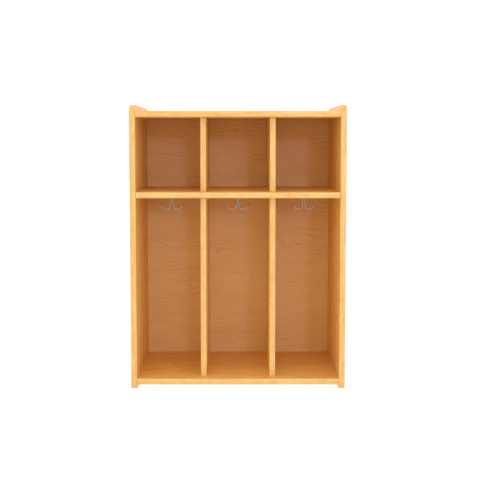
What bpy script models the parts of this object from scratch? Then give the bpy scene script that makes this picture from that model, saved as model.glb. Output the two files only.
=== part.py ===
"""A three-section open school locker of edge-banded maple boards, with double-prong coat hooks.

Metres, +Z up. The origin is on the floor under the middle of the locker. The front faces -Y, and left and
right are as seen from the front, so right is +X. Run it with: blender --background --python part.py
"""

from math import cos, degrees, pi, radians, sin

import bmesh
import bpy
from mathutils import Matrix

# The case
WIDTH = 0.690
DEPTH = 0.381
HEIGHT = 0.9144
BOARD = 0.019
BAND = 0.003  # thickness of the hardwood edge bands
GAP = 0.0003  # between pieces that touch
FLOOR_GAP = 0.0146  # under the bottom panel
SIDE_LIP = 0.020  # the sides stand this far above the top panel
CUBBY_HEIGHT = 0.2386
DIVIDER_SETBACK = 0.032
BACK = 0.006  # thickness of the back panel
BACK_INSET = 0.019  # from the rear edges to the back panel
GROOVE = 0.0055  # depth of the groove that holds the back panel
SIDE_TOP_RADIUS = 0.025
SIDE_BOTTOM_RADIUS = 0.0127
BAND_EDGE_RADIUS = 0.0025
BOARD_EDGE_RADIUS = 0.0008

# Fasteners. A screw's head is a rim and then a cone down to the shank, and its tip tapers.
ASSEMBLY_SCREW = {
    "length": 0.050,
    "radius": 0.003,
    "tip_radius": 0.0015,
    "head_radius": 0.005,
    "rim": 0.001,
    "head_depth": 0.0035,
}
HOOK_SCREW = {
    "length": 0.018,
    "radius": 0.0017,
    "tip_radius": 0.0005,
    "head_radius": 0.0034,
    "rim": 0.0002,
    "head_depth": 0.0017,
}
TIP_TAPER = 0.004
SOCKET_RADIUS = 0.0023
SOCKET_DEPTH = 0.0025
RECESS_WIDTH = 0.0009
RECESS_LENGTH = 0.0038
RECESS_DEPTH = 0.0012
SCREW_SINK = 0.0004  # the assembly screws' heads lie this far below the face
SCREW_INSET = 0.060  # from the front edge, and from the back panel
DOWEL_LENGTH = 0.060
DOWEL_RADIUS = 0.004
DOWEL_CHAMFER = 0.0008
BORE_CLEARANCE = 0.0004  # larger than GAP, because bores and shanks are polygons
BORE_OVERRUN = 0.002  # a bore's cutter starts this far above the face

# Coat hooks
HOOK_FROM_FRONT = 0.178
PLATE_LENGTH = 0.042
PLATE_WIDTH = 0.017
PLATE_THICKNESS = 0.002
WIRE_RADIUS = 0.0022
STEM_SPACING = 0.0066
STEM_LENGTH = 0.0332  # from the shelf to where the bend starts
BEND_RADIUS = 0.0155
BEND_RISE = radians(52)  # how far the bend goes on past its lowest point
TIP_RUN = 0.0110  # straight stretch from the bend to the ball's centre
BALL_RADIUS = 0.0036
HOOK_SCREW_SPACING = 0.029

# Facets
ARC_STEPS = 6
PLATE_END_STEPS = 8
BEND_STEPS = 12
TURNED_SIDES = 12
BALL_SEGMENTS = (10, 8)

# Places worked out from the above
FRONT = -DEPTH / 2
REAR = DEPTH / 2
BACK_FACE = REAR - BACK_INSET - BACK
INSIDE = WIDTH / 2 - BOARD  # x of the sides' inner faces
BOTTOM_BASE = FLOOR_GAP
TOP_BASE = HEIGHT - SIDE_LIP - BOARD
SHELF_BASE = TOP_BASE - CUBBY_HEIGHT - BOARD
BAY = (2 * INSIDE - 2 * BOARD) / 3
DIVIDER_X = (BAY + BOARD) / 2
HOOK_Y = FRONT + HOOK_FROM_FRONT
SCREW_ROWS = {"front": FRONT + SCREW_INSET, "rear": BACK_FACE - SCREW_INSET}
SIDES = {"left": -1, "right": 1}
BAYS = {"left": -(BAY + BOARD), "middle": 0, "right": BAY + BOARD}
LEVELS = {"bottom": BOTTOM_BASE, "shelf": SHELF_BASE, "top": TOP_BASE}


def clear_scene():
    for obj in list(bpy.data.objects):
        bpy.data.objects.remove(obj)


def new_collection(name):
    collection = bpy.data.collections.new(name)
    bpy.context.scene.collection.children.link(collection)
    return collection


def material(name, colour, roughness, metallic=0.0):
    made = bpy.data.materials.new(name)
    made.use_nodes = True
    shader = made.node_tree.nodes["Principled BSDF"]
    shader.inputs["Base Color"].default_value = (*colour, 1)
    shader.inputs["Roughness"].default_value = roughness
    shader.inputs["Metallic"].default_value = metallic
    return made


clear_scene()
LOCKER = new_collection("school_locker")
CUTTERS = new_collection("cutters")
ROOT = bpy.data.objects.new("school_locker", None)
LOCKER.objects.link(ROOT)
MAPLE = material("maple_board", (0.87, 0.56, 0.25), 0.40)
MAPLE_EDGE = material("maple_edge", (0.93, 0.60, 0.25), 0.40)
MAPLE_BACK = material("maple_back", (0.82, 0.50, 0.22), 0.45)
BEECH = material("beech_dowel", (0.78, 0.55, 0.34), 0.70)
ZINC = material("zinc_screw", (0.60, 0.60, 0.58), 0.35, 1.0)
NICKEL = material("nickel_hook", (0.62, 0.60, 0.57), 0.28, 1.0)


# Making pieces


def piece(name, mesh, look, place=Matrix(), parent=ROOT):
    """One named part of the locker."""
    obj = bpy.data.objects.new(name, mesh)
    if not mesh.materials:
        mesh.materials.append(look)
    LOCKER.objects.link(obj)
    obj.parent = parent
    obj.matrix_local = place
    return obj


def cutter(name, mesh):
    """A helper that Booleans use and no render shows."""
    obj = bpy.data.objects.new(name, mesh)
    CUTTERS.objects.link(obj)
    obj.hide_render = True
    obj.display_type = "WIRE"
    return obj


def combine(obj, other, operation="DIFFERENCE"):
    boolean = obj.modifiers.new(f"{operation.title()} {other.name}", "BOOLEAN")
    boolean.operation = operation
    boolean.solver = "EXACT"
    boolean.object = other


def baked(obj):
    """The object's mesh with its modifiers applied and loose caps welded. The object is removed."""
    bpy.context.view_layer.update()
    mesh = bpy.data.meshes.new_from_object(obj.evaluated_get(bpy.context.evaluated_depsgraph_get()))
    bm = bmesh.new()
    bm.from_mesh(mesh)
    bmesh.ops.remove_doubles(bm, verts=bm.verts, dist=1e-6)
    bm.to_mesh(mesh)
    bm.free()
    mesh.name = obj.name
    bpy.data.objects.remove(obj)
    return mesh


def smooth(mesh, angle=40):
    mesh.shade_smooth()
    mesh.set_sharp_from_angle(angle=radians(angle))
    return mesh


def box_mesh(name, low, high):
    """A box from its low corner to its high corner."""
    mesh = bpy.data.meshes.new(name)
    bm = bmesh.new()
    middle = [(a + b) / 2 for a, b in zip(low, high)]
    size = [b - a for a, b in zip(low, high)]
    place = Matrix.Translation(middle) @ Matrix.Diagonal((*size, 1))
    bmesh.ops.create_cube(bm, size=1, matrix=place)
    bm.to_mesh(mesh)
    bm.free()
    return mesh


def slab_mesh(name, outlines, thickness):
    """A flat plate in the XY plane, centred on it, with a hole for each outline after the first."""
    curve = bpy.data.curves.new(name, "CURVE")
    curve.dimensions = "2D"
    curve.fill_mode = "BOTH"
    curve.extrude = thickness / 2
    for outline in outlines:
        spline = curve.splines.new("POLY")
        spline.points.add(len(outline) - 1)
        for point, (x, y) in zip(spline.points, outline):
            point.co = (x, y, 0, 1)
        spline.use_cyclic_u = True
    obj = bpy.data.objects.new(name, curve)
    CUTTERS.objects.link(obj)
    return baked(obj)


def turned_mesh(name, profile):
    """A shape turned about Z from (radius, height) points that run from the top down."""
    mesh = bpy.data.meshes.new(name)
    edges = [(i, i + 1) for i in range(len(profile) - 1)]
    mesh.from_pydata([(radius, 0, height) for radius, height in profile], edges, [])
    obj = bpy.data.objects.new(name, mesh)
    CUTTERS.objects.link(obj)
    screw = obj.modifiers.new("Turn", "SCREW")
    screw.steps = TURNED_SIDES
    screw.render_steps = TURNED_SIDES
    screw.use_merge_vertices = True
    screw.merge_threshold = 1e-5
    return baked(obj)


def copies_mesh(name, mesh, places):
    """One mesh that holds a copy of another at each place."""
    joined = bpy.data.meshes.new(name)
    bm = bmesh.new()
    for place in places:
        copy = mesh.copy()
        copy.transform(place)
        bm.from_mesh(copy)
        bpy.data.meshes.remove(copy)
    bm.to_mesh(joined)
    bm.free()
    return joined


def ease(obj, radius, segments, chosen):
    """Rounds the edges for which chosen(start, end) is true, in the mesh's own coordinates."""
    bm = bmesh.new()
    bm.from_mesh(obj.data)
    weight = bm.edges.layers.float.new("bevel_weight_edge")
    for edge in bm.edges:
        start, end = (vert.co for vert in edge.verts)
        edge[weight] = float(edge.calc_face_angle(0) > radians(45) and chosen(start, end))
    bm.to_mesh(obj.data)
    bm.free()
    bevel = obj.modifiers.new("Ease", "BEVEL")
    bevel.limit_method = "WEIGHT"
    bevel.width = radius
    bevel.segments = segments


def arc(centre, radius, start, end, steps):
    """Points of an arc from one angle to another, in degrees."""
    angles = [radians(start + (end - start) * i / steps) for i in range(steps + 1)]
    return [(centre[0] + radius * cos(a), centre[1] + radius * sin(a)) for a in angles]


# Places of fasteners: each matrix puts a screw's head on a face, with the screw running into it


def side_screw_places(side):
    """Places by name: two screws for each level, through a side into the end of a board."""
    sign = SIDES[side]
    turn = Matrix.Rotation(sign * pi / 2, 4, "Y")
    x = sign * (WIDTH / 2 - SCREW_SINK)
    places = {}
    for level, base in LEVELS.items():
        for row, y in SCREW_ROWS.items():
            place = Matrix.Translation((x, y, base + BOARD / 2)) @ turn
            places[f"{side}_side_{level}_{row}_screw"] = place
    return places


def divider_screw_places(level):
    """Places by name: two screws for each divider, down through the top or up through the bottom."""
    down = level == "top"
    z = TOP_BASE + BOARD - SCREW_SINK if down else BOTTOM_BASE + SCREW_SINK
    turn = Matrix.Rotation(0 if down else pi, 4, "Y")
    places = {}
    for side, sign in SIDES.items():
        for row, y in SCREW_ROWS.items():
            place = Matrix.Translation((sign * DIVIDER_X, y, z)) @ turn
            places[f"{level}_to_{side}_divider_{row}_screw"] = place
    return places


def dowel_places():
    """Places by name: two dowels for each pair of dividers, centred in the shelf."""
    z = SHELF_BASE + BOARD / 2
    places = {}
    for side, sign in SIDES.items():
        for row, y in SCREW_ROWS.items():
            places[f"shelf_{side}_{row}_dowel"] = Matrix.Translation((sign * DIVIDER_X, y, z))
    return places


def hook_screw_places():
    """Places relative to a hook: heads down in the plate, one in front of the prongs and one behind."""
    turn = Matrix.Rotation(pi, 4, "Y")
    z = -GAP - PLATE_THICKNESS
    half = HOOK_SCREW_SPACING / 2
    return {
        "front_screw": Matrix.Translation((0, -half, z)) @ turn,
        "rear_screw": Matrix.Translation((0, half, z)) @ turn,
    }


# Shared shapes


def screw_profile(screw, clearance=0.0):
    """Head to tip. With clearance it is the bore for the screw, which starts above the face."""
    above = BORE_OVERRUN if clearance else 0.0
    shank = screw["radius"] + clearance
    head = screw["head_radius"] + clearance
    length = screw["length"] + clearance
    return [
        (0, above),
        (head, above),
        (head, -screw["rim"] - clearance),
        (shank, -screw["head_depth"] - clearance),
        (shank, TIP_TAPER - length),
        (shank if clearance else screw["tip_radius"], -length),
        (0, -length),
    ]


def screw_mesh(name, screw, recess):
    """A countersunk screw with its head's top at the origin, and a recess cut there."""
    obj = cutter(name, turned_mesh(name, screw_profile(screw)))
    combine(obj, recess)
    return smooth(baked(obj))


def hex_socket():
    mesh = bpy.data.meshes.new("hex_socket")
    bm = bmesh.new()
    size = {"radius1": SOCKET_RADIUS, "radius2": SOCKET_RADIUS, "depth": 2 * SOCKET_DEPTH}
    bmesh.ops.create_cone(bm, cap_ends=True, segments=6, **size)
    bm.to_mesh(mesh)
    bm.free()
    return cutter(mesh.name, mesh)


def cross_recess():
    corner = (RECESS_LENGTH / 2, RECESS_WIDTH / 2, RECESS_DEPTH)
    bar = cutter("cross_recess", box_mesh("cross_recess", [-size for size in corner], corner))
    across = cutter("cross_recess_across", bar.data)
    across.rotation_euler.z = pi / 2
    combine(bar, across, "UNION")
    return bar


def dowel_mesh():
    half = DOWEL_LENGTH / 2
    small = DOWEL_RADIUS - DOWEL_CHAMFER
    profile = [
        (0, half),
        (small, half),
        (DOWEL_RADIUS, half - DOWEL_CHAMFER),
        (DOWEL_RADIUS, DOWEL_CHAMFER - half),
        (small, -half),
        (0, -half),
    ]
    return smooth(turned_mesh("dowel", profile))


def dowel_bore_mesh():
    radius = DOWEL_RADIUS + BORE_CLEARANCE
    half = DOWEL_LENGTH / 2 + BORE_CLEARANCE
    return turned_mesh("dowel_bore", [(0, half), (radius, half), (radius, -half), (0, -half)])


def prong_path():
    """Points (x, z) down the right-hand prong's stem, round its bend and up to the ball's centre."""
    stem = STEM_SPACING / 2
    lowest = 270
    bend = arc(
        (stem + BEND_RADIUS, -STEM_LENGTH), BEND_RADIUS, 180, lowest + degrees(BEND_RISE), BEND_STEPS
    )
    x, z = bend[-1]
    tip = (x + TIP_RUN * cos(BEND_RISE), z + TIP_RUN * sin(BEND_RISE))
    return [(stem, -GAP), (stem, -STEM_LENGTH / 2), *bend, tip]


def prong_mesh():
    """The right-hand prong, a bent wire that ends in a ball. The hook's centre line is at x = 0."""
    path = prong_path()
    curve = bpy.data.curves.new("prong", "CURVE")
    curve.dimensions = "3D"
    curve.bevel_depth = WIRE_RADIUS
    curve.bevel_resolution = 2
    curve.use_fill_caps = True
    spline = curve.splines.new("POLY")
    spline.points.add(len(path) - 1)
    for point, (x, z) in zip(spline.points, path):
        point.co = (x, 0, z, 1)
    prong = cutter("prong", baked(cutter("prong_wire", curve)))
    combine(prong, ball_at(*path[-1]), "UNION")
    return smooth(baked(prong), 60)


def ball_at(x, z):
    mesh = bpy.data.meshes.new("ball")
    bm = bmesh.new()
    around, down = BALL_SEGMENTS
    place = Matrix.Translation((x, 0, z))
    bmesh.ops.create_uvsphere(bm, u_segments=around, v_segments=down, radius=BALL_RADIUS, matrix=place)
    bm.to_mesh(mesh)
    bm.free()
    return cutter("ball", mesh)


def plate_mesh(screw_bore):
    """A base plate with round ends, with holes for the stems and countersunk screws."""
    radius = PLATE_WIDTH / 2
    ends = PLATE_LENGTH / 2 - radius
    outline = arc((0, ends), radius, 0, 180, PLATE_END_STEPS)
    outline += arc((0, -ends), radius, 180, 360, PLATE_END_STEPS)
    bore = WIRE_RADIUS + BORE_CLEARANCE
    stems = [arc((s * STEM_SPACING / 2, 0), bore, 0, 360, TURNED_SIDES)[:-1] for s in SIDES.values()]
    plate = cutter("hook_plate", slab_mesh("hook_plate", [outline, *stems], PLATE_THICKNESS))
    plate.data.transform(Matrix.Translation((0, 0, -GAP - PLATE_THICKNESS / 2)))
    bores = copies_mesh("plate_bores", screw_bore, hook_screw_places().values())
    combine(plate, cutter("plate_bores", bores))
    return smooth(baked(plate))


def shared_cutters(hook_screw_bore):
    """The bores and the groove, each cut from every board that it passes through."""
    bore = turned_mesh("screw_bore", screw_profile(ASSEMBLY_SCREW, BORE_CLEARANCE))
    hooks = [
        Matrix.Translation((x, HOOK_Y, SHELF_BASE)) @ place
        for x in BAYS.values()
        for place in hook_screw_places().values()
    ]
    bores = {
        "left_side": (bore, side_screw_places("left").values()),
        "right_side": (bore, side_screw_places("right").values()),
        "top_dividers": (bore, divider_screw_places("top").values()),
        "bottom_dividers": (bore, divider_screw_places("bottom").values()),
        "dowels": (dowel_bore_mesh(), dowel_places().values()),
        "hooks": (hook_screw_bore, hooks),
    }
    cutters = {
        name: cutter(f"{name}_bores", copies_mesh(f"{name}_bores", mesh, places))
        for name, (mesh, places) in bores.items()
    }
    cutters["groove"] = cutter("back_groove", box_mesh("back_groove", *back_corners(GAP)))
    return cutters


# The boards


def back_corners(around=0.0):
    """The back panel's corners, with room around it when it cuts its groove."""
    x = INSIDE + GROOVE
    low = (-x - around, BACK_FACE - around, BOTTOM_BASE + BOARD - GROOVE - around)
    high = (x + around, BACK_FACE + BACK + around, TOP_BASE + GROOVE + around)
    return low, high


def side_path(inset):
    """The side's edge from its lower front corner up and back to the rear, set in by inset."""
    low, up = SIDE_BOTTOM_RADIUS, SIDE_TOP_RADIUS
    path = arc((FRONT + low, low), low - inset, 270, 180, ARC_STEPS)
    path += arc((FRONT + up, HEIGHT - up), up - inset, 180, 90, ARC_STEPS)
    return path + [(REAR, HEIGHT - inset)]


def side_place(side):
    """Turns an outline of (y, z) points upright, with its thickness along X."""
    x = SIDES[side] * (INSIDE + BOARD / 2)
    return Matrix.Translation((x, 0, 0)) @ Matrix.Rotation(pi / 2, 4, "Z") @ Matrix.Rotation(pi / 2, 4, "X")


def make_side(side, cutters):
    heel = FRONT + SIDE_BOTTOM_RADIUS + GAP
    core = [(REAR, 0), (heel, 0), (heel, BAND + GAP)] + side_path(BAND + GAP)
    mesh = slab_mesh(f"{side}_side_panel", [core], BOARD)
    panel = piece(mesh.name, mesh, MAPLE, side_place(side))
    ease(panel, BOARD_EDGE_RADIUS, 1, lambda a, b: min(a.x, b.x) > REAR - 1e-5 and a.y != b.y)
    combine(panel, cutters["groove"])
    combine(panel, cutters[f"{side}_side"])

    outer = side_path(0)
    mesh = slab_mesh(f"{side}_side_edge_band", [outer + side_path(BAND)[::-1]], BOARD)
    band = piece(mesh.name, mesh, MAPLE_EDGE, side_place(side))

    def on_rim(a, b):
        near = [min((v.x - y) ** 2 + (v.y - z) ** 2 for y, z in outer) < 1e-10 for v in (a, b)]
        return all(near) and abs(a.z - b.z) < 1e-6

    ease(band, BAND_EDGE_RADIUS, 2, on_rim)


def make_board(name, band_name, low, high, cutters):
    """A board with an edge band along its front, both between the same ends."""
    seam = low[1] + BAND
    band = piece(band_name, box_mesh(band_name, low, (high[0], seam, high[2])), MAPLE_EDGE)
    long = 0 if high[0] - low[0] > high[2] - low[2] else 2

    def on_front(a, b):
        return max(a.y, b.y) < seam - BAND / 2 and abs(a[long] - b[long]) > BOARD

    ease(band, BAND_EDGE_RADIUS, 2, on_front)
    board = piece(name, box_mesh(name, (low[0], seam + GAP, low[2]), high), MAPLE)
    for used in cutters:
        combine(board, used)


def make_levels(cutters):
    """The top, shelf and bottom, butted between the sides. The back panel stops the shelf."""
    x = INSIDE - GAP
    boards = {
        "bottom": ("bottom_panel", REAR, ("groove", "bottom_dividers")),
        "shelf": ("cubby_shelf", BACK_FACE - GAP, ("dowels", "hooks")),
        "top": ("top_panel", REAR, ("groove", "top_dividers")),
    }
    for level, (name, rear, bores) in boards.items():
        base = LEVELS[level]
        used = [cutters[bore] for bore in ("left_side", "right_side", *bores)]
        make_board(name, f"{level}_edge_band", (-x, FRONT, base), (x, rear, base + BOARD), used)


def make_dividers(cutters):
    """Two dividers above the shelf and two below it, set back from the front."""
    spans = {
        "upper": (SHELF_BASE + BOARD + GAP, TOP_BASE - GAP, "top_dividers"),
        "lower": (BOTTOM_BASE + BOARD + GAP, SHELF_BASE - GAP, "bottom_dividers"),
    }
    for storey, (base, top, screws) in spans.items():
        for side, sign in SIDES.items():
            low = (sign * DIVIDER_X - BOARD / 2, FRONT + DIVIDER_SETBACK, base)
            high = (sign * DIVIDER_X + BOARD / 2, BACK_FACE - GAP, top)
            name = f"{storey}_{side}_divider"
            make_board(name, f"{name}_edge_band", low, high, [cutters[screws], cutters["dowels"]])


def make_back():
    piece("back_panel", box_mesh("back_panel", *back_corners()), MAPLE_BACK)


# The fasteners and hooks


def make_fasteners():
    screw = screw_mesh("assembly_screw", ASSEMBLY_SCREW, hex_socket())
    screws = {
        **side_screw_places("left"),
        **side_screw_places("right"),
        **divider_screw_places("top"),
        **divider_screw_places("bottom"),
    }
    for name, place in screws.items():
        piece(name, screw, ZINC, place)
    dowel = dowel_mesh()
    for name, place in dowel_places().items():
        piece(name, dowel, BEECH, place)


def make_hooks(screw_bore):
    """A hook under the shelf in each coat compartment, its pieces parented to an empty there."""
    plate = plate_mesh(screw_bore)
    prong = prong_mesh()
    screw = screw_mesh("hook_screw", HOOK_SCREW, cross_recess())
    half_turn = Matrix.Rotation(pi, 4, "Z")
    for bay, x in BAYS.items():
        hook = bpy.data.objects.new(f"{bay}_hook", None)
        LOCKER.objects.link(hook)
        hook.parent = ROOT
        hook.location = (x, HOOK_Y, SHELF_BASE)
        piece(f"{bay}_hook_plate", plate, NICKEL, parent=hook)
        piece(f"{bay}_hook_right_prong", prong, NICKEL, parent=hook)
        piece(f"{bay}_hook_left_prong", prong, NICKEL, half_turn, hook)
        for name, place in hook_screw_places().items():
            piece(f"{bay}_hook_{name}", screw, ZINC, place, hook)


def make_locker():
    hook_screw_bore = turned_mesh("hook_screw_bore", screw_profile(HOOK_SCREW, GAP))
    cutters = shared_cutters(hook_screw_bore)
    for side in SIDES:
        make_side(side, cutters)
    make_levels(cutters)
    make_dividers(cutters)
    make_back()
    make_fasteners()
    make_hooks(hook_screw_bore)


make_locker()
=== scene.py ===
"""The looks of the school locker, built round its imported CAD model.

Metres, in the CAD model's frame: +Z up, the open front towards -Y, the floor at z = 0. The boards and dowels
keep their CAD shapes and get wood materials. Finer pieces replace the edge bands, hooks and screws.
"""

from math import asin, cos, degrees, pi, radians, sin, sqrt

import bmesh
import bpy
from mathutils import Matrix, Vector


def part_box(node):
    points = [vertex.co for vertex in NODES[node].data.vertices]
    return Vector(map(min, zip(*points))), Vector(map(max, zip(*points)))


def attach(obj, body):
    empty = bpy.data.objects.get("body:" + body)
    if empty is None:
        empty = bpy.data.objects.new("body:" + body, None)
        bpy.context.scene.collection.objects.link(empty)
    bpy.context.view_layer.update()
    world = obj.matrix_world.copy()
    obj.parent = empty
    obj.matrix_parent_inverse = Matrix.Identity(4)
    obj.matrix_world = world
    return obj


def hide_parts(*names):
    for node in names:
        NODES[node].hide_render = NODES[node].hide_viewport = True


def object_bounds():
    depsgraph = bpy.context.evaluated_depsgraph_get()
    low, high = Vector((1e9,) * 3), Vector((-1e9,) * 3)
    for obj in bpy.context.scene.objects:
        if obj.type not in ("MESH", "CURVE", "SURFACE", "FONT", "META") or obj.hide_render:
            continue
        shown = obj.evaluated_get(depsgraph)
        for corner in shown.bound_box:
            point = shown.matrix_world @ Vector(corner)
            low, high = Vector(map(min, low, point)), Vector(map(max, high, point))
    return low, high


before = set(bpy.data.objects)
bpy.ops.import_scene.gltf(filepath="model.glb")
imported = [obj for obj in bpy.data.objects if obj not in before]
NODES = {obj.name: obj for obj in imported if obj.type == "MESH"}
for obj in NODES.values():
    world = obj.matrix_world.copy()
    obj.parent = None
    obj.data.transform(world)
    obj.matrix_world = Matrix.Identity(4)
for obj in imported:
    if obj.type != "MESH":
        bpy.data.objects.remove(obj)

CAD_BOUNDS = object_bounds()
X, Y, Z = (Vector(row) for row in Matrix.Identity(3))
SURFACE = 1e-5  # vertices this close to a face are on it
SHARP_ANGLE = 35  # degrees between faces, above which a smooth mesh keeps an edge

# Camera. Its shift stands in for most of the pitch, so that the uprights stay nearly parallel
CAMERA_BACK = 2.669  # from the locker's front face to the camera
CAMERA_HEIGHT = 0.7942
CAMERA_PITCH = radians(4)  # downwards
CAMERA_LENS = 63.05  # millimetres, as the sensor's width
CAMERA_SENSOR = 36
CAMERA_SHIFT = (0.0042, -0.0802)

# Light
WORLD_STRENGTH = 1.14  # level with the floor, to either side
WORLD_TILT = (0.0, -0.11, 0.035)  # how much brighter the studio is towards -Y and +Z
WORLD_GLARE = 0.4  # how much brighter it is in reflections
FLOOR_SIZE = 15  # from the middle to an edge
FLOOR_GLOW = 0.92  # keeps the floor's shadow and warm tint faint
FLOOR_ALBEDO = 0.12
KEY_STRENGTH = 2.6
KEY_DIRECTION = (0.21, -1.0, 0.19)  # towards the light
KEY_ANGLE = radians(5)

# Maple, as (light, dark) pairs
VENEER = ((0.885, 0.51, 0.14), (0.80, 0.40, 0.08))
# The level boards' maple is a darker copy of the walls': painted shade
SHADED_LEVEL_VENEER = ((0.86, 0.485, 0.135), (0.77, 0.375, 0.074))
BACK_VENEER = ((0.86, 0.52, 0.182), (0.775, 0.42, 0.108))
SOLID = ((0.835, 0.508, 0.154), (0.743, 0.352, 0.069))
BEECH = ((0.62, 0.42, 0.24), (0.45, 0.28, 0.14))

# Wood. A scale is how many features there are in a metre, along the grain and across it. Four numbers are a
# ramp's: the values where it starts and ends, and what it gives there
GRAIN_TURNS = {"x": (0, 0, 0), "z": (0, pi / 2, 0), "path": (0, 0, 0)}
SEED_STEP = (3.1, 1.7, 2.3)  # how far apart two seeds' patterns lie
BOARD_SEED = 20  # the first board's. The bands' start at 1
DOWEL_SEED = 40
NOISE_MEAN = 0.5
RING_LEAN = 0.6  # growth lines along Y for each one along Z, where X is along the grain
GROWTH_SCALE = (3.5, 8.0)
GROWTH_WANDER = 4.0
RIPPLE_SCALE = (20, 40)
RIPPLE_WANDER = 0.5
PRESENCE_SCALE = (6, 16)
PRESENCE = (0.36, 0.62, 0.15, 1.0)  # how clear the growth lines are
LATEWOOD_MEAN = 0.3
STREAK_SCALE = (7, 130)
SOFT_SCALE = (9, 24)
SOFT_SHARE = 1.3  # next to the streaks
SPOT_SCALE = (38, 60)
FIBRE_SCALE = (60, 1300)
FIBRE_SHARE = 0.7
MEAN_SHADE = 0.4  # from 0, all light, to 1, all dark
FLECKS = (((14, 80), 0.88, 0.30), ((260, 1100), 0.45, 0.16))  # scale, rarity and strength
FLECK_RADII = (0.30, 0.05)  # of a fleck's soft edge and its core, in cells
FLECK_TONE = 0.6
EYES = ((-0.157, 0.215), (0.010, 0.225), (0.262, 0.205))  # x, z of closed loops in the back panel's figure
EYE_SCALE = (26, 19)  # along and across
EYE_RINGS = 5.0
# Painted highlight on the bands' rounded arrises: their colour paler there, in patches
ARRIS_HIGHLIGHT_SPAN = (0.0022, 0.0002)  # how far from an arris the painted highlight starts and is full
ARRIS_HIGHLIGHT_SCALE = (45, 200)
ARRIS_HIGHLIGHT_PATCHES = (0.3, 0.7, 0.25, 0.8)
ARRIS_HIGHLIGHT_TONE = 1.04
ROUGH_RANGE = (0.3, 0.7)
ROUGH_SWING = 0.05
GRAIN_DEPTH = 0.00004
FIBRE_RELIEF = 0.6
RING_RELIEF = 0.25
STREAK_RELIEF = 0.3

# Metal
NICKEL = ((0.43, 0.475, 0.495), 0.10)  # colour and roughness
ZINC = ((0.62, 0.62, 0.60), 0.34)
CLOUD_SCALE = 220.0
TARNISH = (0.45, 0.75, 0.0, 0.6)
TARNISH_TONE = 0.78
BRUSH_SCALE = (2500, 2500, 300)
BRUSH_DEPTH = 0.000006
BRUSH_SWING = (-0.04, 0.06)

# Edge bands
BAND_EDGE_RADIUS = 0.0025
BAND_EDGE_STEPS = 5
CORNER_STEPS = 16
BAND_STEP = 0.04

# Hooks, from the shelf's underside
PLATE_TOP = 0.0003
PLATE_THICKNESS = 0.002
PLATE_EDGE_RADIUS = 0.0007
PLATE_EDGE_STEPS = 4
PLATE_END_STEPS = 24
HOLE_CLEARANCE = 0.0003
HOLE_RIM = 0.0002  # least height of a countersink's narrow end
HOLE_SIDES = 32
WIRE_RADIUS = 0.0022
STEM_SPACING = 0.0066
STEM_LENGTH = 0.0332
STEM_STEPS = 4
BEND_RADIUS = 0.0155
BEND_RISE = radians(52)  # how far the bend goes on past its lowest point
TIP_RUN = 0.0110  # from the bend to the ball's centre
BALL_RADIUS = 0.0036
NECK = 0.0004  # from the wire's last ring to the ball
WELD_GAP = 0.00005  # keeps the weld's first ring off the plate
WELD_SPREAD = 0.0005
WELD_HEIGHT = 0.0012
WELD_STEPS = 6
WIRE_SIDES = 24
WIRE_SHARP_ANGLE = 50
BEND_STEPS = 30
BALL_STEPS = 14

# Screws
TURNED_SIDES = 40
ASSEMBLY_SCREW = {"shank": 0.0030, "rim": 0.0010, "head_depth": 0.0035, "tip": 0.0012}
HOOK_SCREW = {"shank": 0.0017, "rim": 0.0004, "head_depth": 0.0017, "tip": 0.0006}
RIM_EDGE = 0.4  # how much of the rim's height is bevelled
TIP_TAPER = 4  # its length, in shank radii
SOCKET = (0.0023, 0.0025)  # radius and depth
CROSS = (0.0038, 0.0009, 0.0012)  # length, width and depth
CROSS_RISE = 0.0005  # how far its cutter stands out of the head
CROSS_TAPER = 0.62  # its size at the bottom
SCREW_TURN = radians(37)  # from each screw's recess to the next one's


# Stage, light and camera


def link(obj):
    bpy.context.scene.collection.objects.link(obj)
    return obj


def make_camera():
    low, high = CAD_BOUNDS
    data = bpy.data.cameras.new("camera")
    data.lens = CAMERA_LENS
    data.sensor_width = CAMERA_SENSOR
    data.shift_x, data.shift_y = CAMERA_SHIFT
    camera = link(bpy.data.objects.new("camera", data))
    camera.location = ((low[0] + high[0]) / 2, low[1] - CAMERA_BACK, CAMERA_HEIGHT)
    camera.rotation_euler = (pi / 2 - CAMERA_PITCH, 0, 0)
    bpy.context.scene.camera = camera


def make_studio():
    """White all round. Its strength is WORLD_STRENGTH + direction . WORLD_TILT, and more in reflections."""
    scene = bpy.context.scene
    world = bpy.data.worlds.new("studio")
    world.use_nodes = True
    tree = world.node_tree
    background = tree.nodes["Background"]
    background.inputs["Color"].default_value = (1, 1, 1, 1)
    direction = tree.nodes.new("ShaderNodeTexCoord")
    toward = tree.nodes.new("ShaderNodeVectorMath")
    toward.operation = "DOT_PRODUCT"
    toward.inputs[1].default_value = WORLD_TILT
    tree.links.new(direction.outputs["Generated"], toward.inputs[0])
    strength = tree.nodes.new("ShaderNodeMath")
    strength.inputs[1].default_value = WORLD_STRENGTH
    tree.links.new(toward.outputs["Value"], strength.inputs[0])
    ray = tree.nodes.new("ShaderNodeLightPath")
    mirrored = tree.nodes.new("ShaderNodeMath")
    mirrored.operation = "MULTIPLY_ADD"
    mirrored.inputs[1].default_value = WORLD_GLARE
    tree.links.new(ray.outputs["Is Glossy Ray"], mirrored.inputs[0])
    tree.links.new(strength.outputs[0], mirrored.inputs[2])
    tree.links.new(mirrored.outputs[0], background.inputs["Strength"])
    scene.world = world
    scene.view_settings.view_transform = "Standard"


def make_key():
    """A soft light from the front that only shows as a sheen on the lacquer."""
    data = bpy.data.lights.new("key", "SUN")
    data.energy = KEY_STRENGTH
    data.angle = KEY_ANGLE
    key = link(bpy.data.objects.new("key", data))
    key.rotation_euler = Vector(KEY_DIRECTION).to_track_quat("Z", "Y").to_euler()
    key.visible_diffuse = False
    key.light_linking.receiver_collection = bpy.data.collections.new("lacquered")


def shine_on(obj):
    """Lets the key light fall on a piece."""
    bpy.data.collections["lacquered"].objects.link(obj)


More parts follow.
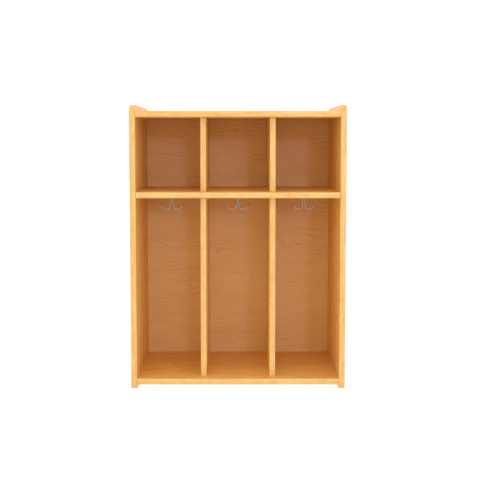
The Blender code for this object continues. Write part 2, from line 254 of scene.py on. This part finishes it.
def make_floor():
    bm = bmesh.new()
    bmesh.ops.create_grid(bm, x_segments=1, y_segments=1, size=FLOOR_SIZE)
    mesh = bpy.data.meshes.new("floor")
    bm.to_mesh(mesh)
    bm.free()
    look = bpy.data.materials.new("studio_floor")
    look.use_nodes = True
    inputs = look.node_tree.nodes["Principled BSDF"].inputs
    inputs["Base Color"].default_value = (FLOOR_ALBEDO, FLOOR_ALBEDO, FLOOR_ALBEDO, 1)
    inputs["Roughness"].default_value = 1.0
    inputs["Specular IOR Level"].default_value = 0.0
    inputs["Emission Color"].default_value = (1, 1, 1, 1)
    inputs["Emission Strength"].default_value = FLOOR_GLOW
    mesh.materials.append(look)
    link(bpy.data.objects.new("floor", mesh))


# Materials


class Nodes:
    """Short calls for building one material's node tree."""

    def __init__(self, name):
        self.material = bpy.data.materials.new(name)
        self.material.use_nodes = True
        self.tree = self.material.node_tree
        self.shader = self.tree.nodes["Principled BSDF"]

    def add(self, kind, **settings):
        node = self.tree.nodes.new(kind)
        for key, value in settings.items():
            setattr(node, key, value)
        return node

    def set(self, socket, value):
        """Links a node's output to a socket, or sets a plain value on it."""
        if isinstance(value, bpy.types.NodeSocket):
            self.tree.links.new(value, socket)
        elif socket.type == "RGBA":
            socket.default_value = (*value, 1)
        else:
            socket.default_value = value

    def math(self, operation, *values, clamp=False):
        node = self.add("ShaderNodeMath", operation=operation, use_clamp=clamp)
        for socket, value in zip(node.inputs, values):
            self.set(socket, value)
        return node.outputs[0]

    def total(self, *terms):
        """The sum of weight times (value - middle) over (value, weight, middle) terms."""
        result = 0.0
        for value, weight, middle in terms:
            result = self.math("MULTIPLY_ADD", value, weight, result)
            result = self.math("SUBTRACT", result, weight * middle)
        return result

    def split(self, vector):
        """A vector's x, y and z."""
        node = self.add("ShaderNodeSeparateXYZ")
        self.set(node.inputs[0], vector)
        return node.outputs

    def mapped(self, vector, scale, offset=(0, 0, 0), turn=(0, 0, 0)):
        node = self.add("ShaderNodeMapping", vector_type="POINT")
        self.set(node.inputs["Vector"], vector)
        node.inputs["Scale"].default_value = scale
        node.inputs["Location"].default_value = offset
        node.inputs["Rotation"].default_value = turn
        return node.outputs[0]

    def noise(self, vector, scale, detail=2.0, roughness=0.5):
        """scale is per metre: one number, or one for along the grain and one for across."""
        if isinstance(scale, tuple):
            along, across = scale
            vector, scale = self.mapped(vector, (along, across, across)), 1.0
        node = self.add("ShaderNodeTexNoise")
        self.set(node.inputs["Vector"], vector)
        node.inputs["Scale"].default_value = scale
        node.inputs["Detail"].default_value = detail
        node.inputs["Roughness"].default_value = roughness
        return node.outputs["Fac"]

    def flecks(self, vector, scale, rarity, strength):
        """Short dashes along the grain. scale is how many there could be per metre along and across it."""
        along, across = scale
        cells = self.add("ShaderNodeTexVoronoi", feature="F1")
        self.set(cells.inputs["Vector"], self.mapped(vector, (along, across, across)))
        chance = self.add("ShaderNodeSeparateColor")
        self.set(chance.inputs[0], cells.outputs["Color"])
        chosen = self.math("GREATER_THAN", chance.outputs[0], rarity)
        dash = self.ramp(cells.outputs["Distance"], *FLECK_RADII, 0.0, strength)
        return self.math("MULTIPLY", dash, chosen)

    def ramp(self, value, start, end, low=0.0, high=1.0):
        """A smooth step from low at start to high at end."""
        node = self.add("ShaderNodeMapRange", interpolation_type="SMOOTHSTEP")
        for name, number in (("From Min", start), ("From Max", end), ("To Min", low), ("To Max", high)):
            node.inputs[name].default_value = number
        self.set(node.inputs["Value"], value)
        return node.outputs["Result"]

    def mix(self, factor, a, b):
        node = self.add("ShaderNodeMix", data_type="RGBA")
        for socket, value in zip((s for s in node.inputs if s.enabled), (factor, a, b)):
            self.set(socket, value)
        return next(s for s in node.outputs if s.enabled)

    def bump(self, height, distance):
        node = self.add("ShaderNodeBump")
        node.inputs["Distance"].default_value = distance
        self.set(node.inputs["Height"], height)
        self.set(self.shader.inputs["Normal"], node.outputs[0])


def scaled(colour, factor):
    return tuple(min(1.0, factor * value) for value in colour)


def growth_rings(n, source, place, figure, eyes):
    """A wave from -1 to 1 across the growth lines, and how far a spot is into a dark line.

    figure is the lines' spacing and how many spacings they wander. Round each eye they close into loops.
    """
    spacing, wander = figure
    at = n.split(place)
    growth = n.noise(place, GROWTH_SCALE, detail=1.0, roughness=0.4)
    ripple = n.noise(place, RIPPLE_SCALE, detail=1.0)
    terms = [
        (at["Y"], RING_LEAN / spacing, 0.0), (at["Z"], 1 / spacing, 0.0),
        (growth, GROWTH_WANDER * wander, NOISE_MEAN), (ripple, RIPPLE_WANDER * wander, NOISE_MEAN),
    ]
    wide, high = EYE_SCALE
    for x, z in eyes:
        away = n.add("ShaderNodeVectorMath", operation="LENGTH")
        n.set(away.inputs[0], n.mapped(source, (wide, 0, high), offset=(-wide * x, 0, -high * z)))
        fall = n.math("MULTIPLY", n.math("POWER", away.outputs["Value"], 2.0), -1.0)
        terms.append((n.math("EXPONENT", fall), EYE_RINGS, 0.0))
    rings = n.math("SINE", n.math("MULTIPLY", n.total(*terms), 2 * pi))
    presence = n.ramp(n.noise(place, PRESENCE_SCALE, detail=1.0), *PRESENCE)
    return rings, n.math("MULTIPLY", n.ramp(rings, 0.0, 1.0), presence)


def wood(
    name, grain, seed, tones, figure=(0.014, 2.0), line=0.3, cloud=0.5, patch=0.0, eyes=(), highlight_half_width=0.0,
    rough=0.5, gloss=0.35,
):
    """Lacquered wood.

    grain is the axis that it runs along, or "path" for a band's own coordinates. figure and eyes are as in
    growth_rings. line, cloud and patch are the strengths of the growth lines, of soft streaks and of short
    light and dark patches. The argument after eyes is the half width of a band, whose arrises get a painted
    highlight: paler colour there, in patches.
    """
    n = Nodes(name)
    if grain == "path":
        source = n.add("ShaderNodeAttribute", attribute_name="grain").outputs["Vector"]
    else:
        source = n.add("ShaderNodeTexCoord").outputs["Object"]
    turned = n.mapped(source, (1, 1, 1), turn=GRAIN_TURNS[grain])
    place = n.mapped(turned, (1, 1, 1), offset=[seed * step for step in SEED_STEP])

    light, dark = tones
    rings, latewood = growth_rings(n, source, place, figure, eyes)
    streak = n.noise(place, STREAK_SCALE, detail=3.0)
    soft = n.noise(place, SOFT_SCALE)
    spots = n.noise(place, SPOT_SCALE, roughness=0.6)
    fibre = n.noise(place, FIBRE_SCALE)
    shade = n.total(
        (latewood, line, LATEWOOD_MEAN),
        (streak, cloud, NOISE_MEAN),
        (soft, SOFT_SHARE * cloud, NOISE_MEAN),
        (spots, patch, NOISE_MEAN),
        (fibre, FIBRE_SHARE, NOISE_MEAN),
    )
    colour = n.mix(n.math("ADD", shade, MEAN_SHADE, clamp=True), light, dark)
    for scale, rarity, strength in FLECKS:
        colour = n.mix(n.flecks(place, scale, rarity, strength), colour, scaled(dark, FLECK_TONE))
    # Painted highlight: a band's arrises paler, in patches
    if highlight_half_width:
        aside = n.math("ABSOLUTE", n.split(source)["Y"])
        edge = n.ramp(aside, highlight_half_width - ARRIS_HIGHLIGHT_SPAN[0], highlight_half_width - ARRIS_HIGHLIGHT_SPAN[1])
        painted_highlight = n.math("MULTIPLY", edge, n.ramp(n.noise(place, ARRIS_HIGHLIGHT_SCALE), *ARRIS_HIGHLIGHT_PATCHES))
        colour = n.mix(painted_highlight, colour, scaled(light, ARRIS_HIGHLIGHT_TONE))
    n.set(n.shader.inputs["Base Color"], colour)
    roughness = n.ramp(streak, *ROUGH_RANGE, rough - ROUGH_SWING, rough + ROUGH_SWING)
    n.set(n.shader.inputs["Roughness"], roughness)
    n.shader.inputs["Specular IOR Level"].default_value = gloss
    relief = n.total((fibre, FIBRE_RELIEF, 0.0), (rings, RING_RELIEF, 0.0), (streak, STREAK_RELIEF, 0.0))
    n.bump(relief, GRAIN_DEPTH)
    return n.material


def metal(name, colour, rough):
    """Plated steel with fine brushing and a slight uneven tarnish."""
    n = Nodes(name)
    source = n.add("ShaderNodeTexCoord").outputs["Object"]
    tarnish = n.ramp(n.noise(source, CLOUD_SCALE, detail=3.0), *TARNISH)
    brush = n.noise(n.mapped(source, BRUSH_SCALE), 1.0)
    n.set(n.shader.inputs["Base Color"], n.mix(tarnish, colour, scaled(colour, TARNISH_TONE)))
    n.shader.inputs["Metallic"].default_value = 1.0
    roughness = n.ramp(brush, *ROUGH_RANGE, *(rough + swing for swing in BRUSH_SWING))
    n.set(n.shader.inputs["Roughness"], roughness)
    n.bump(brush, BRUSH_DEPTH)
    return n.material


# Making pieces


def new_piece(node, mesh, look, place=Matrix()):
    """A piece that stands for a CAD node and rides on the locker."""
    obj = link(bpy.data.objects.new(f"fine_{node}", mesh))
    obj.matrix_world = place
    if not mesh.materials:
        mesh.materials.append(look)
    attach(obj, "root")
    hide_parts(node)
    return obj


def dress(node, look):
    """Gives a wooden CAD node its material and sheen."""
    NODES[node].data.materials.clear()
    NODES[node].data.materials.append(look)
    shine_on(NODES[node])


def mesh_of(name, bm, angle=SHARP_ANGLE):
    """The bmesh as a mesh that is smooth except across edges sharper than the angle."""
    mesh = bpy.data.meshes.new(name)
    bmesh.ops.recalc_face_normals(bm, faces=bm.faces)
    bm.to_mesh(mesh)
    bm.free()
    mesh.shade_smooth()
    mesh.set_sharp_from_angle(angle=radians(angle))
    return mesh


def arc(centre, radius, start, end, steps):
    """Points of an arc from one angle to another, in degrees."""
    angles = [radians(start + (end - start) * i / steps) for i in range(steps + 1)]
    return [Vector((centre[0] + radius * cos(a), centre[1] + radius * sin(a))) for a in angles]


def circle(centre, across, up, radius, sides):
    """Points round a circle in the plane of two unit vectors."""
    angles = [2 * pi * i / sides for i in range(sides)]
    return [centre + radius * (cos(a) * across + sin(a) * up) for a in angles]


def skin(bm, rings):
    """Faces between each ring of vertices and the next."""
    for one, two in zip(rings, rings[1:]):
        for i in range(len(one)):
            j = (i + 1) % len(one)
            bm.faces.new((one[i], one[j], two[j], two[i]))


def loft(bm, rings):
    """Joins rings of points into a closed tube and returns the rings' vertices."""
    made = [[bm.verts.new(point) for point in ring] for ring in rings]
    skin(bm, made)
    bm.faces.new(reversed(made[0]))
    bm.faces.new(made[-1])
    return made


# Edge bands


def band_section(width, thickness):
    """Points (across, depth) round a band. Depth runs from 0 at its rounded face into the board."""
    half, r = width / 2, BAND_EDGE_RADIUS
    near = arc((half - r, r), r, 0, -90, BAND_EDGE_STEPS)
    far = arc((r - half, r), r, -90, -180, BAND_EDGE_STEPS)
    return [*near, *far, Vector((-half, thickness)), Vector((half, thickness))]


def band_mesh(name, path, across, thickness):
    """Sweeps a band's section along (point on its outer face, inward direction) pairs.

    across is the band's width as a vector. The grain attribute holds how far along and across each vertex is.
    """
    side = across.normalized()
    section = band_section(across.length, thickness)
    bm = bmesh.new()
    grain = bm.verts.layers.float_vector.new("grain")
    rings = [[point + side * p.x + inward * p.y for p in section] for point, inward in path]
    travelled = 0.0
    before = path[0][0]
    for ring, (point, _) in zip(loft(bm, rings), path):
        travelled += (point - before).length
        before = point
        for vert, p in zip(ring, section):
            vert[grain] = (travelled, p.x, p.y)
    return mesh_of(name, bm)


def straight_path(low, high, along):
    """From one end of a straight band to the other, down the middle of its front face."""
    points = []
    for end in (low, high):
        point = Vector(((low.x + high.x) / 2, low.y, (low.z + high.z) / 2))
        point[along] = end[along]
        points.append((point, Y))
    return points


def side_path(node):
    """Up the front from the foot, round the top corner and back along the top."""
    low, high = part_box(node)
    x = (low.x + high.x) / 2
    front = [v.co.z for v in NODES[node].data.vertices if v.co.y < low.y + SURFACE]
    foot, top = min(front) - low.z, high.z - max(front)
    path = []
    for radius, z, start, end in ((foot, low.z + foot, 270, 180), (top, high.z - top, 180, 90)):
        centre = Vector((x, low.y + radius, z))
        for point in arc(centre.yz, radius, start, end, CORNER_STEPS):
            outer = Vector((x, *point))
            path.append((outer, (centre - outer).normalized()))
    path.append((Vector((x, high.y, high.z)), -Z))
    return path


def side_thickness(node):
    """A side band's thickness, from its square rear end."""
    low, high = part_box(node)
    return high.z - min(v.co.z for v in NODES[node].data.vertices if v.co.y > high.y - SURFACE)


def subdivided(path):
    """The path with points added along its straight runs."""
    fine = [path[0]]
    for (a, inward_a), (b, inward_b) in zip(path, path[1:]):
        count = max(1, round((b - a).length / BAND_STEP))
        for i in range(1, count + 1):
            fine.append((a.lerp(b, i / count), inward_a.lerp(inward_b, i / count).normalized()))
    return fine


def make_bands():
    for seed, node in enumerate(sorted(n for n in NODES if n.endswith("edge_band")), 1):
        low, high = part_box(node)
        size = high - low
        if "side" in node:
            across, thickness, path = size.x * X, side_thickness(node), side_path(node)
        elif size.x > size.z:
            across, thickness, path = size.z * Z, size.y, straight_path(low, high, 0)
        else:
            across, thickness, path = size.x * X, size.y, straight_path(low, high, 2)
        look = wood(
            f"maple_{node}", "path", seed, SOLID,
            figure=(0.010, 1.0), line=0.35, cloud=0.8, patch=1.6, highlight_half_width=across.length / 2,
        )
        mesh = band_mesh(f"fine_{node}", subdivided(path), across, thickness)
        shine_on(new_piece(node, mesh, look))


# Boards and dowels


def make_boards():
    level = {"cubby_shelf", "top_panel", "bottom_panel"}
    boards = sorted(n for n in NODES if n.endswith(("panel", "shelf", "divider")))
    for seed, node in enumerate(boards, BOARD_SEED):
        if node == "back_panel":
            look = wood(
                f"maple_{node}", "x", seed, BACK_VENEER,
                figure=(0.011, 2.8), line=0.75, patch=0.9, eyes=EYES, rough=0.62, gloss=0.3,
            )
        elif node in level:
            # A darker copy of the walls' maple: painted shade on the level boards
            look = wood(
                f"maple_{node}", "x", seed, SHADED_LEVEL_VENEER,
                figure=(0.022, 1.6), line=0.9, cloud=0.9, patch=0.8, rough=0.45, gloss=0.15,
            )
        else:
            look = wood(f"maple_{node}", "z", seed, VENEER, line=0.35, rough=0.3, gloss=0.05)
        dress(node, look)
    look = wood("beech_dowels", "z", DOWEL_SEED, BEECH, figure=(0.002, 1.0))
    for node in NODES:
        if node.endswith("dowel"):
            dress(node, look)


# Hooks


def weld_stations(x, face):
    """Rings of a fillet where the wire at x leaves the plate's lower face."""
    stations = []
    for i in range(WELD_STEPS + 1):
        a = pi / 2 * i / WELD_STEPS
        drop = WELD_GAP + WELD_HEIGHT * (1 - cos(a))
        stations.append((Vector((x, face - drop)), WIRE_RADIUS + WELD_SPREAD * (1 - sin(a)), Vector((0, -1))))
    return stations


def ball_stations(centre, ahead):
    """Rings of the ball, from where the wire meets it. A point closes it."""
    first = pi - asin(WIRE_RADIUS / BALL_RADIUS)
    stations = []
    for i in range(BALL_STEPS):
        a = first * (1 - i / BALL_STEPS)
        stations.append((centre + ahead * BALL_RADIUS * cos(a), BALL_RADIUS * sin(a), ahead))
    return stations


def prong_stations():
    """The right-hand prong's rings in the plane of the hook, as (point, radius, direction)."""
    x = STEM_SPACING / 2
    face = -PLATE_TOP - PLATE_THICKNESS
    down = Vector((0, -1))
    stations = [(Vector((x, -PLATE_TOP)), WIRE_RADIUS, down), (Vector((x, face)), WIRE_RADIUS, down)]
    stations += weld_stations(x, face)
    for i in range(1, STEM_STEPS):
        stations.append((Vector((x, face - (STEM_LENGTH + face) * i / STEM_STEPS)), WIRE_RADIUS, down))
    bend = arc((x + BEND_RADIUS, -STEM_LENGTH), BEND_RADIUS, 180, 270 + degrees(BEND_RISE), BEND_STEPS)
    ahead = Vector((cos(BEND_RISE), sin(BEND_RISE)))
    centre = bend[-1] + TIP_RUN * ahead
    neck = centre - ahead * (sqrt(BALL_RADIUS**2 - WIRE_RADIUS**2) + NECK)
    stations.append((bend[0], WIRE_RADIUS, down))
    for before, point, after in zip(bend, bend[1:], [*bend[2:], neck]):
        stations.append((point, WIRE_RADIUS, (after - before).normalized()))
    stations.append((neck, WIRE_RADIUS, ahead))
    return stations + ball_stations(centre, ahead)


def prong_mesh():
    """A bent wire with a weld at its plate and a ball at its tip, all in one closed mesh."""
    rings = []
    for point, radius, along in prong_stations():
        normal = Vector((along.y, 0, -along.x))
        rings.append(circle(Vector((point.x, 0, point.y)), normal, Y, radius, WIRE_SIDES))
    bm = bmesh.new()
    last = loft(bm, rings)[-1]
    bmesh.ops.poke(bm, faces=[f for f in bm.faces if len(f.verts) == WIRE_SIDES and last[0] in f.verts])
    return mesh_of("hook_prong", bm, WIRE_SHARP_ANGLE)


def plate_outline(length, radius, inset, z):
    """Points round a plate with round ends."""
    ends = length / 2 - radius
    front = arc((0, ends), radius - inset, 0, 180, PLATE_END_STEPS)
    rear = arc((0, -ends), radius - inset, 180, 360, PLATE_END_STEPS)
    return [Vector((p.x, p.y, z)) for p in front + rear]


def plate_mesh(length, width, holes):
    """A plate with its lower edge rounded and with (x, y, top radius, bottom radius) holes.

    A hole is countersunk from below when its bottom radius is the larger.
    """
    low = -PLATE_TOP - PLATE_THICKNESS
    r = PLATE_EDGE_RADIUS
    levels = [(0.0, -PLATE_TOP), (0.0, low + r)]
    for i in range(1, PLATE_EDGE_STEPS + 1):
        a = pi / 2 * i / PLATE_EDGE_STEPS
        levels.append((r - r * cos(a), low + r - r * sin(a)))
    walls = [[plate_outline(length, width / 2, inset, z) for inset, z in levels]]
    for x, y, top, bottom in holes:
        rings = [(top, -PLATE_TOP), (top, low + max(HOLE_RIM, bottom - top)), (bottom, low)]
        walls.append([circle(Vector((x, y, z)), X, Y, size, HOLE_SIDES) for size, z in rings])
    bm = bmesh.new()
    walls = [[[bm.verts.new(point) for point in ring] for ring in wall] for wall in walls]
    for wall in walls:
        skin(bm, wall)
    for end in (0, -1):
        loops = [wall[end] for wall in walls]
        edges = [bm.edges.get((loop[i - 1], loop[i])) for loop in loops for i in range(len(loop))]
        bmesh.ops.triangle_fill(bm, use_beauty=True, edges=edges)
    return mesh_of("hook_plate", bm)


def hook_plate_mesh(bay, centre):
    """The plate, with holes for both stems and for the bay's two screws."""
    low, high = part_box(f"{bay}_hook_plate")
    stem = WIRE_RADIUS + HOLE_CLEARANCE
    holes = [(side * STEM_SPACING / 2, 0, stem, stem) for side in (-1, 1)]
    for row in ("front", "rear"):
        screw_low, screw_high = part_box(f"{bay}_hook_{row}_screw")
        y = (screw_low.y + screw_high.y) / 2 - centre.y
        head = (screw_high.x - screw_low.x) / 2
        holes.append((0, y, HOOK_SCREW["shank"] + HOLE_CLEARANCE, head + HOLE_CLEARANCE))
    return plate_mesh(high.y - low.y, high.x - low.x, holes)


def make_hooks(nickel):
    prong = prong_mesh()
    half_turn = Matrix.Rotation(pi, 4, "Z")
    plate = None
    for bay in ("left", "middle", "right"):
        low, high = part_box(f"{bay}_hook_plate")
        centre = Vector(((low.x + high.x) / 2, (low.y + high.y) / 2, high.z + PLATE_TOP))
        if plate is None:
            plate = hook_plate_mesh(bay, centre)
        place = Matrix.Translation(centre)
        new_piece(f"{bay}_hook_plate", plate, nickel, place)
        new_piece(f"{bay}_hook_right_prong", prong, nickel, place)
        new_piece(f"{bay}_hook_left_prong", prong, nickel, place @ half_turn)


# Screws


def with_recess(name, mesh, cutter):
    """The mesh with the cutter's shape taken out."""
    whole = link(bpy.data.objects.new(name, mesh))
    tool = link(bpy.data.objects.new(f"{name}_tool", cutter))
    modifier = whole.modifiers.new("recess", "BOOLEAN")
    modifier.object = tool
    modifier.solver = "EXACT"
    depsgraph = bpy.context.evaluated_depsgraph_get()
    result = bpy.data.meshes.new_from_object(whole.evaluated_get(depsgraph))
    for obj in (whole, tool):
        bpy.data.objects.remove(obj)
    result.name = name
    result.materials.clear()
    result.shade_smooth()
    result.set_sharp_from_angle(angle=radians(SHARP_ANGLE))
    return result


def screw_mesh(name, length, head_radius, screw, cutter):
    """A countersunk screw down from the origin, with the cutter's recess in its head."""
    shank, rim = screw["shank"], screw["rim"]
    edge = RIM_EDGE * rim
    profile = [
        (head_radius - edge, 0.0), (head_radius, -edge), (head_radius, -rim), (shank, -screw["head_depth"]),
        (shank, TIP_TAPER * shank - length), (screw["tip"], -length),
    ]
    bm = bmesh.new()
    loft(bm, [circle(z * Z, X, Y, radius, TURNED_SIDES) for radius, z in profile])
    return with_recess(name, mesh_of(name, bm), cutter)


def hex_cutter():
    radius, depth = SOCKET
    bm = bmesh.new()
    bmesh.ops.create_cone(bm, cap_ends=True, segments=6, radius1=radius, radius2=radius, depth=2 * depth)
    return mesh_of("hex_cutter", bm)


def cross_cutter():
    """A cross that gets smaller towards its bottom."""
    length, width, depth = CROSS
    outline = []
    for quarter in range(4):
        turn = Matrix.Rotation(quarter * pi / 2, 3, "Z")
        for x, y in ((length, -width), (length, width), (width, width)):
            outline.append(turn @ Vector((x / 2, y / 2, 0)))
    rings = []
    for size, z in ((1, CROSS_RISE), (1, 0.0), (CROSS_TAPER, -depth)):
        rings.append([size * point + z * Z for point in outline])
    bm = bmesh.new()
    loft(bm, rings)
    return mesh_of("cross_cutter", bm)


def screw_place(node):
    """Where a screw's head is, the way it points out, and the screw's length and head radius."""
    low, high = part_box(node)
    size = high - low
    axis = max(range(3), key=lambda i: size[i])
    centre = (low + high) / 2
    outward = Vector((0, 0, 0))
    if "hook" in node:
        outward.z = -1
    else:
        middle = (CAD_BOUNDS[0][axis] + CAD_BOUNDS[1][axis]) / 2
        outward[axis] = 1 if centre[axis] > middle else -1
    head = centre + outward * size[axis] / 2
    return head, outward, size[axis], size[(axis + 1) % 3] / 2


def make_screws(zinc):
    meshes = {}
    for count, node in enumerate(sorted(n for n in NODES if n.endswith("screw"))):
        head, outward, length, radius = screw_place(node)
        kind = "hook_screw" if "hook" in node else "assembly_screw"
        if kind not in meshes:
            screw, cutter = (HOOK_SCREW, cross_cutter()) if "hook" in node else (ASSEMBLY_SCREW, hex_cutter())
            meshes[kind] = screw_mesh(kind, length, radius, screw, cutter)
        place = Matrix.Translation(head) @ outward.to_track_quat("Z", "Y").to_matrix().to_4x4()
        place = place @ Matrix.Rotation(count * SCREW_TURN, 4, "Z")
        new_piece(node, meshes[kind], zinc, place)


# The scene

make_camera()
make_studio()
make_key()
make_floor()
make_boards()
make_bands()
make_hooks(metal("nickel", *NICKEL))
make_screws(metal("zinc", *ZINC))
